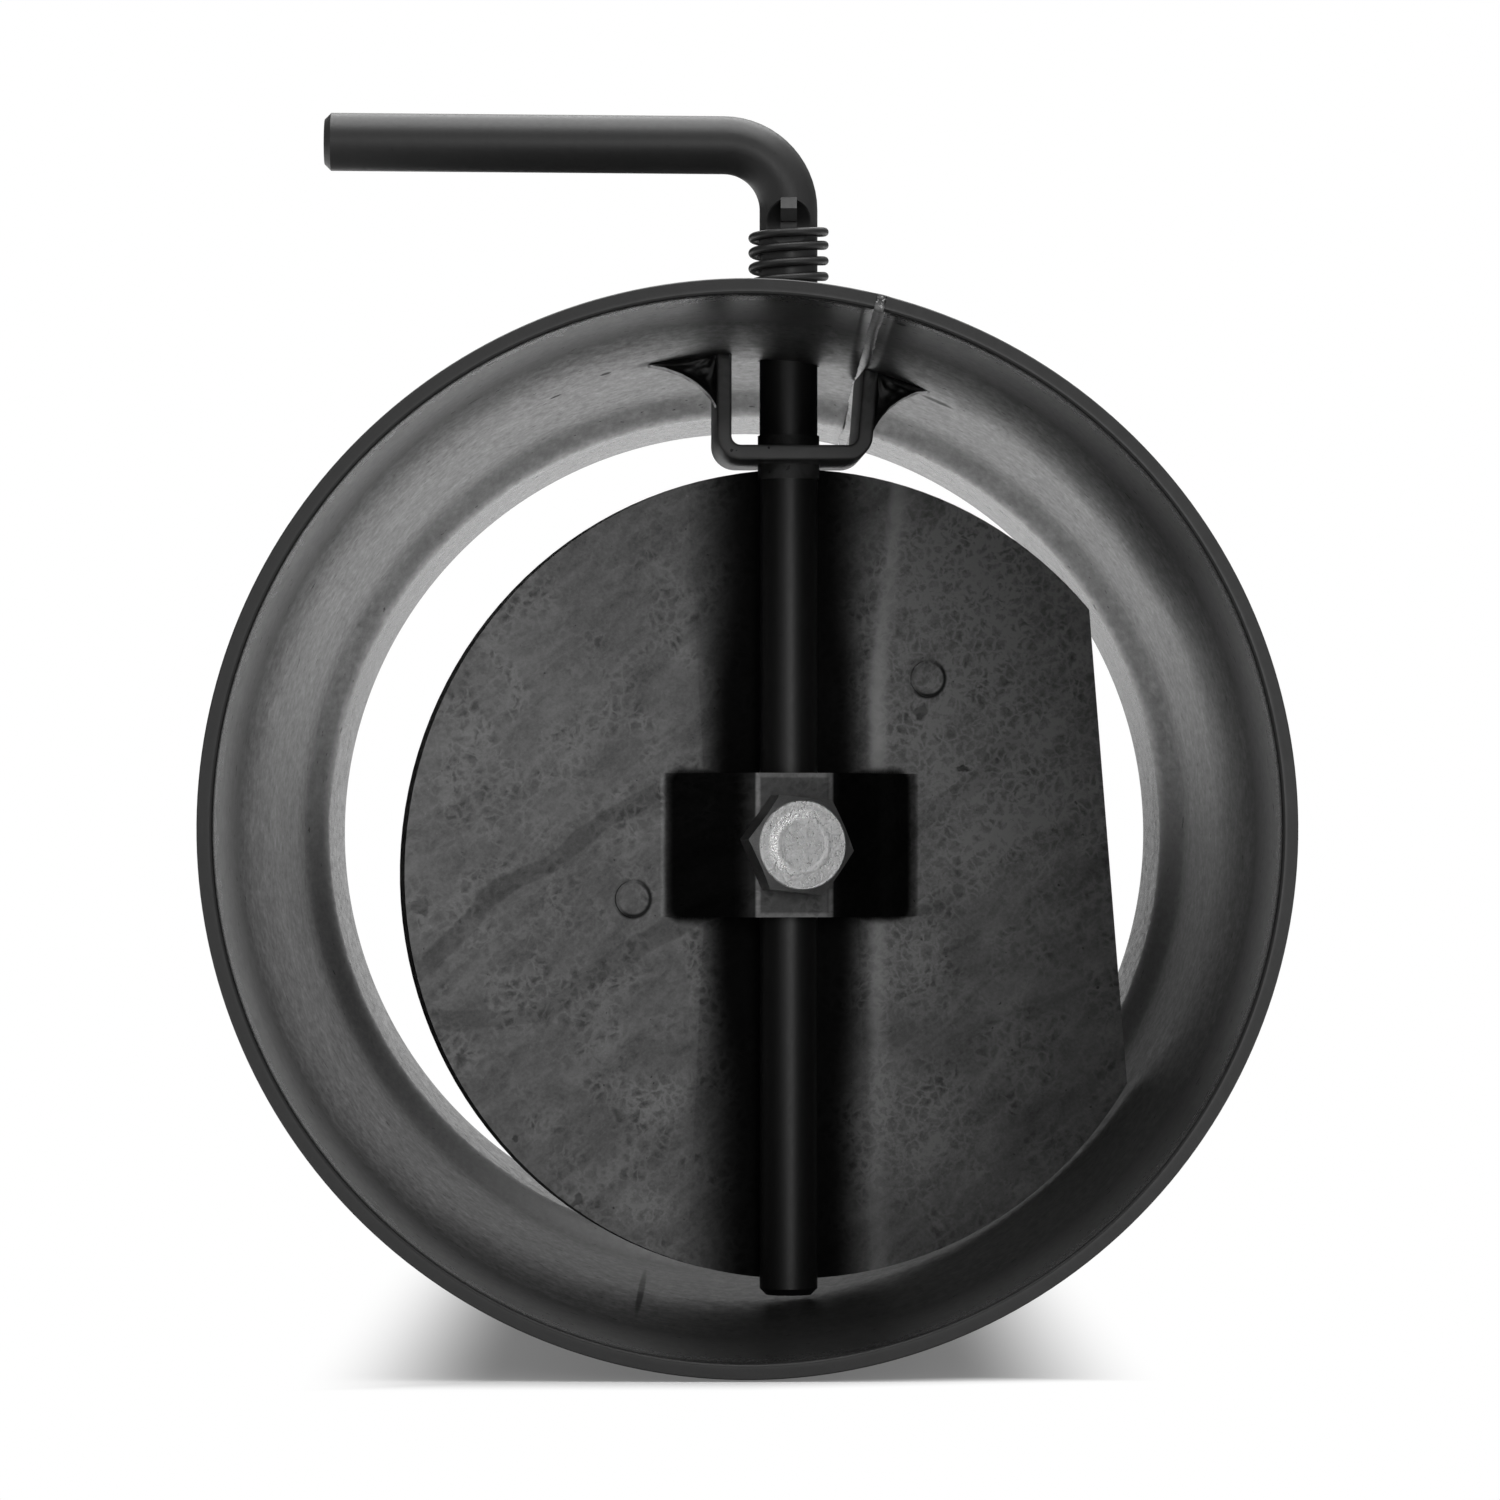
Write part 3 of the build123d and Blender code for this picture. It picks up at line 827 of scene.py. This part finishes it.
def oilRun(sheet, flat, run):  # one dark run of oil between two points
    (fromX, fromY), (toX, toY) = run["from"], run["to"]
    half = math.hypot(toX - fromX, toY - fromY) / 2
    turn = math.atan2(toY - fromY, toX - fromX)
    x, y, z = sheet.parts(sheet.warp(flat, 0.08, 2.2))
    awayX, awayY = x - (fromX + toX) / 2, y - (fromY + toY) / 2
    along = awayX * math.cos(turn) + awayY * math.sin(turn)
    beside = awayY * math.cos(turn) - awayX * math.sin(turn)
    band = 1 - sheet.mask(beside.size(), run["wide"] * 0.7, run["wide"])
    return band * (1 - sheet.mask(along.size(), half - 0.5, half + 1.5)) * run["deep"]


def pressMark(sheet, across, up, forward):  # painted shade along the spindle, and the painted highlight line beside it
    press = discSheet["press"]
    raised = sheet.mask(up, *press["raised"])
    soft = sheet.mask((up - discSheet["bridge"]["middle"][1]).size(), *press["soft"])
    (right, rightWide), (left, leftWide) = press["right"], press["left"]
    rightFall = across - right + soft * 1.5 + raised * 1.5
    rightFall = rightFall / (rightWide + soft * 1.5 + raised * 2.7)
    leftFall = (left - across + soft * 3.5) / (leftWide + soft * 6.0)
    mark = 1 - sheet.mask(rightFall.larger(leftFall), 0, 1) ** 2
    mark = mark * (1 - sheet.mask(forward, *press["floor"]))
    beyond = across - press["kneePlace"] - raised * 3.0
    highlightLine = sheet.within(beyond, press["kneeRise"], press["kneeFall"])
    return mark, highlightLine * (0.40 + sheet.mask(up, 6, 12) * 0.25 - soft * 0.22)


def bridgeShadowAndHighlightMasks(sheet, across, up, forward):  # the flanks painted as shadow, the flat top, and a painted highlight on its rim
    bridge = discSheet["bridge"]
    corner = bridge["corner"]
    fromTop = (across - bridge["topMiddle"]).size()
    fromX = (across - bridge["middle"][0]).size()
    fromY = (up - bridge["middle"][1]).size()
    cornerX = (fromX - bridge["half"][0] + corner).larger(0)
    cornerY = (fromY - bridge["half"][1] + corner).larger(0)
    flankShadow = 1 - sheet.mask(distance(cornerX, cornerY), *bridge["fade"])
    flankShadow = flankShadow * sheet.mask(fromTop, *bridge["topHalf"])
    flankShadow = flankShadow * sheet.mask(forward, *bridge["flankForward"])
    top = sheet.mask(forward, *bridge["topForward"])
    rim = sheet.mask(fromTop, *bridge["rimAcross"]).larger(sheet.mask(fromY, *bridge["rimUp"]))
    return flankShadow, top, rim


def makeDiscSheet():
    sheet = Recipe("oiledSheet")
    across, up, forward = discPlace(sheet, sheet.pointInMm())
    flat = sheet.join(across, up, forward * 0.3)
    warped = sheet.warp(sheet.warp(flat, 0.30, 1.6), 1.1, 0.7)
    lean = math.radians(discSheet["wiped"])
    along = across * math.cos(lean) + up * math.sin(lean)
    beside = up * math.cos(lean) - across * math.sin(lean)
    slant = sheet.warp(sheet.join(along * 0.40, beside * 1.2, 0), 0.12, 3.0)
    oil = sheet.noise(slant, 0.25, 6, 0.62, 0.4)
    broad = sheet.noise(flat, 0.05, 3, 0.55, 0.8)
    web = 1 - sheet.mask(sheet.cells(warped, 0.60, "DISTANCE_TO_EDGE"), 0.0, 0.24)
    blobs = 1 - sheet.mask(sheet.cells(warped, 0.60), 0.10, 0.42)
    clumps = sheet.mask(sheet.noise(flat, 0.11, 3, 0.55, 0.5), 0.42, 0.62)
    fine = sheet.noise(flat, 2.2, 4, 0.7)
    dots = sheet.mask(sheet.noise(flat, 1.5, 2, 0.5), 0.71, 0.75)
    pits = sheet.mask(sheet.noise(flat, 0.9, 2, 0.5), 0.73, 0.77)

    tone = 0.42 + (oil - 0.5) * 1.5 + (broad - 0.5) * 0.5 + (fine - 0.5) * 0.8
    tone = tone + web * (0.03 + clumps * 0.20) - blobs * (0.03 + clumps * 0.26) + dots * 0.2
    # paler patches, partly painted light lifting the right half
    for mark in discSheet["paleAndPaintedLight"]:
        patch = sheet.stain(flat, (*mark["place"], -1.2), (*mark["reach"], 20), 0.8)
        tone = tone + patch * (0.16 + web * 0.3 + (fine - 0.5) * 0.6)
    tone = sheet.node("ShaderNodeMath", {"operation": "ADD", "use_clamp": True}, {0: tone, 1: 0.0})

    deep = pits * 0.6
    for mark in discSheet["stains"]:
        spot = sheet.stain(warped, (*mark["place"], -1.2), (*mark["reach"], 20), 0.45)
        deep = deep.larger(spot * mark["deep"])
    for run in discSheet["flows"]:
        deep = deep.larger(oilRun(sheet, flat, run))
    for pipX, pipY in discSheet["pips"]:
        awayX, awayY = across - pipX, up - pipY
        ring = sheet.within(distance(awayX, awayY), *discSheet["pipShadowRing"])
        shadowSide = sheet.mask(awayX * 0.8 - awayY * 0.6, -2.0, 1.2)  # painted shadow, heavier on the lower right side
        deep = deep.larger(ring * (0.18 + shadowSide * 0.75))

    # mark is the painted shade along the spindle, the second the painted highlight line beside it
    mark, highlightLine = pressMark(sheet, across, up, forward)
    flankShadow, top, rim = bridgeShadowAndHighlightMasks(sheet, across, up, forward)
    shade = sheet.blend(tone, discSheet["dark"], discSheet["light"])
    shade = sheet.blend(deep, shade, discSheet["black"] * 4)
    shade = sheet.blend(highlightLine, shade, discSheet["press"]["highlightLineTone"])
    shade = sheet.blend(top * (1 - rim) * 0.60, shade, discSheet["bridge"]["topShade"])
    shade = sheet.blend(top * rim * 0.15, shade, discSheet["bridge"]["rimHighlightTone"])
    shade = sheet.blend((mark * 0.97).larger(flankShadow * 0.9), shade, discSheet["black"])
    rough = discSheet["roughness"] + (oil - 0.5) * 0.15 + (fine - 0.5) * 0.12
    rough = rough - web * 0.04 + mark * 0.1
    height = fine * 0.4 + web * 0.3 - blobs * 0.3
    return sheet.finishSurface({
        "Base Color": shade,
        "Metallic": 0.8 + mark.larger(flankShadow) * 0.2,
        "Roughness": rough,
        "Normal": sheet.bump(height, 0.4, discSheet["grainHeight"]),
    })


discSurface = makeDiscSheet()
dress("damper_disc", discSurface)

# Burrs: the torn edge of the sheet along the cuts of the bridge
burrs = {
    "cuts": [(8.0, 1), (-11.8, -1)],  # height of the cut and the way that its burrs point
    "spans": [(-14.8, -10.6, 18), (11.0, 18.0, 26)],  # from, to and how many
    "long": 0.75,
    "wide": 0.16,
    "thick": 0.10,
    "sunk": 0.03,
}


def makeBurrs(surface):
    mesh = bmesh.new()
    turn = math.radians(discSheet["yaw"])
    acrossWay = Vector((math.cos(turn), math.sin(turn), 0))
    frontWay = Vector((math.sin(turn), -math.cos(turn), 0))
    start = Vector((*spindleAt, 0))
    back, front = discSheet["face"] - burrs["sunk"], discSheet["face"] + burrs["thick"]
    for height, way in burrs["cuts"]:
        for first, last, count in burrs["spans"]:
            for step in range(count):
                place = step + 0.5 * lump(step, height, first, 1.7)
                across = first + (last - first) * place / count
                length = burrs["long"] * (0.35 + 0.9 * abs(lump(step, height, last, 2.3)))
                skew = 0.3 * lump(step, first, height, 3.1)
                foot = [(-0.5, -0.15), (0.5, -0.15), (0.1 + skew, length), (-0.1 + skew, length)]
                low, high = [], []
                for side, rise in foot:
                    spot = start + acrossWay * (across + side * burrs["wide"])
                    spot = spot + Vector((0, 0, height + way * rise))
                    low.append(mesh.verts.new((spot + frontWay * back) / 1000))
                    high.append(mesh.verts.new((spot + frontWay * front) / 1000))
                bridgeRings(mesh, [low, high])
                mesh.faces.new(high)
    addPiece("cutBurrs", mesh, surface, "damper", smooth=False)


# Spindle: blackened bar, with a slight grain along it and painted shade in the dents beside the
# nib and on the nib
bar = {
    "shade": 0.013,
    "pitShade": 0.004,
    "dentPaintedShade": 0.001,
    "roughness": 0.43,
    "grainHeight": 0.00003,
    "nibHeight": 83.9,
    "dent": 3.3,
    "dentFloor": (2.7, 2.9),
    "nibSide": (1.05, 1.2),
    "nibTop": (1.2, 1.3),
    "nibFront": (3.9, 4.1),
}


def dentShadeShare(steel, x, y, z):  # painted shade in the dents beside the nib and on the nib, heavier on its lower half
    nib = bar["nibHeight"]
    sideways = (x - spindleAt[0]).size()
    deep = (y - spindleAt[1]).size()
    far = ((x - spindleAt[0]) ** 2.0 + (z - nib) ** 2.0) ** 0.5
    inDent = 1 - steel.mask(far, bar["dent"] - 0.5, bar["dent"])
    onFloor = steel.mask(sideways, *bar["nibSide"]) * (1 - steel.mask(deep, *bar["dentFloor"]))
    onNib = (1 - steel.mask(sideways, *bar["nibTop"])) * steel.mask(deep, *bar["nibFront"])
    onNib = onNib * (0.80 - steel.mask(z, nib - 1.5, nib + 1.5) * 0.55)
    return (inDent * onFloor).larger(onNib) * steel.mask(z, nib - 2.2, nib + 0.6)


def makeBar(name, darker=1.0):
    steel = Recipe(name)
    point = steel.pointInMm()
    grain = steel.noise(steel.stretch(point, (1, 1, 0.15)), 1.6, 4, 0.6)
    fine = steel.noise(point, 1.8, 4, 0.7)
    pits = steel.mask(steel.noise(point, 0.9, 2, 0.5), 0.72, 0.76)
    dentShade = dentShadeShare(steel, *steel.parts(point))
    shade = steel.blend(grain, bar["shade"] * 0.7 * darker, bar["shade"] * 1.4 * darker)
    shade = steel.blend(pits * 0.7, shade, bar["pitShade"])
    shade = steel.blend(dentShade * 0.95, shade, bar["dentPaintedShade"])
    return steel.finishSurface({
        "Base Color": shade,
        "Metallic": dentShade * 0.6,
        "Roughness": bar["roughness"] + (fine - 0.5) * 0.24 + dentShade * 0.3,
        "Specular IOR Level": 0.5,
        "Normal": steel.bump(fine * 0.7 + grain * 0.3, 0.5, bar["grainHeight"]),
    })


dress("spindle", makeBar("blackBar"))
wireSurface = makeBar("blackWire", 0.6)
makeBurrs(discSurface)

# Clamp bolt: blackened all over, its face ground bright
clampBolt = {
    "centre": (-1.4, -1.9),
    "faceForward": 12.35,
    "groove": ((3.0, 3.4), (3.7, 4.1)),
    "highlightArc": ((3.4, 3.9), (4.4, 5.1)),  # a painted highlight, smoother too, in an arc on one side of the face
    "highlightArcSide": (-1.5, 3.0),
    "edge": (5.5, 5.9),
    "bright": 1.0,
    "dull": 0.62,
    "black": 0.26,
    "roughness": 0.32,
    "grainHeight": 0.00017,
}


def makeBoltPlate():
    plate = Recipe("boltSteel")
    point = plate.pointInMm()
    across, up, forward = discPlace(plate, point)
    fromX, fromY = across - clampBolt["centre"][0], up - clampBolt["centre"][1]
    far = distance(fromX, fromY)
    height = clampBolt["faceForward"]
    face = plate.mask(forward, height - 0.12, height - 0.04)
    cloud = plate.noise(point, 0.8, 5, 0.7)
    fine = plate.noise(point, 3.4, 4, 0.75)
    scars = plate.noise(plate.warp(point, 0.8, 0.6), 1.6, 3, 0.6)
    groove = plate.within(far, *clampBolt["groove"])
    edge = plate.mask(far, *clampBolt["edge"])
    # painted highlight: a brighter, smoother arc on one side of the face
    arcHighlight = plate.within(far, *clampBolt["highlightArc"])
    arcHighlight = arcHighlight * plate.mask(fromY * 0.5 - fromX * 0.87, *clampBolt["highlightArcSide"])
    tone = plate.mask(cloud * 0.5 + fine * 0.5, 0.36, 0.64) * 0.8
    tone = tone + groove * 0.2 + edge * 0.2 + arcHighlight * 0.6
    bare = plate.blend(tone, clampBolt["dull"], clampBolt["bright"])
    shade = plate.blend(face, clampBolt["black"], bare)
    rough = clampBolt["roughness"] + (fine - 0.5) * 0.4 + (cloud - 0.5) * 0.25
    rough = rough + (1 - face) * 0.08 - arcHighlight * face * 0.14
    relief = fine * 0.6 + scars * 0.5 + groove * 0.2 * face
    return plate.finishSurface({
        "Base Color": shade,
        "Metallic": 0.55 + face * 0.45,
        "Roughness": rough,
        "Normal": plate.bump(relief, 0.9, clampBolt["grainHeight"]),
    })


dress("clamp_bolt", makeBoltPlate())

# Spring: round wire with closed ends, in place of the eight-sided one, in mm
spring = {
    "coil": 4.925,
    "wire": 0.625,
    "low": 67.874,
    "endPitch": 1.72,
    "openPitch": 2.15,
    "endTurns": 1.0,
    "openTurns": 5.5,
    "ease": 0.12,  # turns over which one pitch goes over into the other
    "stepsPerTurn": 64,
    "sides": 16,
}
springTurns = 2 * spring["endTurns"] + spring["openTurns"]


def springClimb(turn):  # height of the wire above its lower end after so many turns
    ends = spring["endTurns"]
    shut = min(turn, ends) + max(turn - ends - spring["openTurns"], 0)
    return shut * spring["endPitch"] + (turn - shut) * spring["openPitch"]


def springCentre(turn):
    angle = 2 * math.pi * (turn - springTurns) + math.pi / 2
    height = springClimb(turn)
    if spring["ease"] < turn < springTurns - spring["ease"]:
        height = (springClimb(turn - spring["ease"]) + springClimb(turn + spring["ease"])) / 2
    return Vector((spindleAt[0] + spring["coil"] * math.cos(angle),
                   spindleAt[1] + spring["coil"] * math.sin(angle), spring["low"] + height))


def makeSpring(surface):
    mesh = bmesh.new()
    rings = []
    for step in range(round(springTurns * spring["stepsPerTurn"]) + 1):
        turn = step / spring["stepsPerTurn"]
        here = springCentre(turn)
        after, before = min(turn + 0.01, springTurns), max(turn - 0.01, 0)
        way = (springCentre(after) - springCentre(before)).normalized()
        outward = (here - Vector((*spindleAt, here.z))).normalized()
        upward = way.cross(outward).normalized()
        ring = []
        for side in range(spring["sides"]):
            angle = 2 * math.pi * side / spring["sides"]
            offset = outward * math.cos(angle) + upward * math.sin(angle)
            ring.append(mesh.verts.new((here + offset * spring["wire"]) / 1000))
        rings.append(ring)
    skinClosed(mesh, rings)
    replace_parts(addPiece("springWire", mesh, surface, "damper"), "spring")


makeSpring(wireSurface)
print("damper dressed")

# Floor and surroundings: white to the camera, plain light otherwise
studio = {
    "floorDrop": 0.0002,
    "floorSize": 6.0,
    "floorShadeWithPaintedShadow": (0.60, 0.80),  # under the pipe, darker as painted shadow, and beyond it
    "floorChange": (0.15, 0.35),
    "floorLift": 0.15,
    "shadow": {  # outside it the floor is plain white to the camera
        "middle": -0.002,
        "half": 0.0505,
        "fade": (0.55, 1.06),
        "front": (-0.016, 0.001),
        "back": (0.28, 0.50),
        "slant": 0.35,
    },
    "frontLight": 0.40,  # light of the room by its direction, and how near to that
    "backLight": 0.15,
    "backFrom": (-0.25, 0.35),
    "straightLight": 0.67,
    "straightFrom": (0.90, 0.99),
    "topLight": 0.80,
    "topFrom": (0.32, 0.80),
    "sideLight": 0.55,
    "sideFrom": (0.86, 1.0),
    "leftLight": 0.30,
    "leftFrom": (-0.30, 0.10),
    "lamps": [
        {"name": "overhead", "place": (0.0, 0.20, 0.95), "aim": (0, 0.2, 0),
         "size": (1.0, 1.15), "power": 12.0},
        {"name": "behind", "place": (0.0, 1.05, 0.95), "aim": (0, 0.75, -0.067),
         "size": (1.2, 0.5), "power": 6.5},
        {"name": "front", "place": (0.21, -1.3, 0.16), "aim": (0, 0.1, 0),
         "size": (0.45, 0.45), "power": 2.3},
    ],
}


def makeFloorWhite():
    ground = Recipe("floorWhite")
    path = ground.node("ShaderNodeLightPath", out="Is Camera Ray")
    x, y, z = ground.parts(ground.node("ShaderNodeTexCoord", out="Object"))
    shadow = studio["shadow"]
    white = (1, 1, 1, 1)
    far = ground.mask((x - shadow["middle"]).size() / shadow["half"], *shadow["fade"])
    fromFront = y - x.larger(0) * shadow["slant"]
    far = far.larger(1 - ground.mask(fromFront, *shadow["front"]))
    far = far.larger(ground.mask(y, *shadow["back"]))
    # painted shadow: the floor is darker under the pipe than beyond it
    shade = ground.blend(ground.mask(y, *studio["floorChange"]), *studio["floorShadeWithPaintedShadow"])
    matt = ground.node("ShaderNodeBsdfDiffuse", {}, {"Color": shade})
    lift = ground.node("ShaderNodeEmission", {},
                       {"Color": white, "Strength": path * studio["floorLift"]})
    lit = ground.node("ShaderNodeAddShader", {}, {0: matt, 1: lift})
    plain = ground.node("ShaderNodeEmission", {}, {"Color": white, "Strength": 1.0})
    both = ground.node("ShaderNodeMixShader", {}, {0: path * far, 1: lit, 2: plain})
    ground.node("ShaderNodeOutputMaterial", {}, {"Surface": both})
    return ground.owner


def makeFloor():
    low = cadBox[0][2] - studio["floorDrop"]
    half = studio["floorSize"] / 2
    data = bpy.data.meshes.new("floor")
    corners = [(-half, -half, low), (half, -half, low), (half, half, low), (-half, half, low)]
    data.from_pydata(corners, [], [(0, 1, 2, 3)])
    data.materials.append(makeFloorWhite())
    floor = bpy.data.objects.new("floor", data)
    bpy.context.scene.collection.objects.link(floor)


def makeWorld():
    sky = Recipe("studioWhite", world=True)
    path = sky.node("ShaderNodeLightPath", out="Is Camera Ray")
    x, y, z = sky.parts(sky.node("ShaderNodeTexCoord", out="Generated"))
    back = sky.mask(y, *studio["backFrom"])  # 1 behind the pipe, 0 on the camera's side
    light = studio["frontLight"] + back * (studio["backLight"] - studio["frontLight"])
    straight = studio["straightLight"] - studio["backLight"]
    light = light + sky.mask(y, *studio["straightFrom"]) * straight
    light = light + sky.mask(z * 0.85 + y * 0.15, *studio["topFrom"]) * studio["topLight"]
    light = light + sky.mask(x * 0.50 - y * 0.866, *studio["sideFrom"]) * studio["sideLight"]
    left = (1 - sky.mask(x - z, *studio["leftFrom"])) * back
    light = light * (1 + left * (studio["leftLight"] - 1))
    glow = sky.node("ShaderNodeBackground", {},
                    {"Color": (1, 1, 1, 1), "Strength": path.larger(light)})
    sky.node("ShaderNodeOutputWorld", {}, {"Surface": glow})
    bpy.context.scene.world = sky.owner


def makeLamp(look):
    data = bpy.data.lights.new(look["name"], "AREA")
    data.shape = "RECTANGLE"
    data.size, data.size_y = look["size"]
    data.energy = look["power"]
    lamp = bpy.data.objects.new(look["name"], data)
    bpy.context.scene.collection.objects.link(lamp)
    lamp.location = look["place"]
    way = Vector(look["aim"]) - Vector(look["place"])
    lamp.rotation_euler = way.to_track_quat("-Z", "Y").to_euler()


makeFloor()
makeWorld()
for lampLook in studio["lamps"]:
    makeLamp(lampLook)
print("studio lit")
